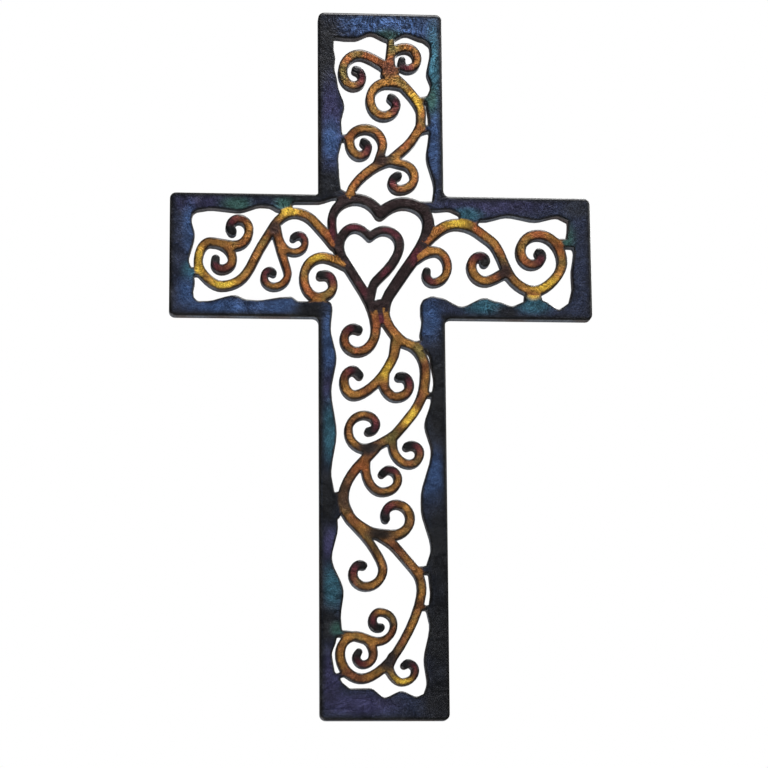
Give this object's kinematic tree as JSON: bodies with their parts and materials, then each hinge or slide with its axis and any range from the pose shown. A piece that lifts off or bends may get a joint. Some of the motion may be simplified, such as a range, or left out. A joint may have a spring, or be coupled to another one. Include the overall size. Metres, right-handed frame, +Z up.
{
  "type": "wall cross",
  "caption": "Flat steel wall cross cut from plate: a rippled frame filled with curling scrolls and nested hearts. It hangs on a wall by its top rail.",
  "frame": {"origin": "On the back face of the top rail, midway across, 6 mm below the top edge, where the cross hangs on a nail.", "axes": "+Z up along the shaft, X along the arms, the front faces -Y and the back, which lies on the wall, faces +Y at y = 0."},
  "size_m": [0.225, 0.0063, 0.381],
  "materials": {
    "patinated_steel": "Heat and dye patina under a clear coat: dark blue rippled frame, gold and amber scrolls with dark red tips, dark maroon hearts, grey cut edges."
  },
  "bodies": {
    "root": {"steel_cross_plate": "patinated_steel"}
  },
  "joints": []
}
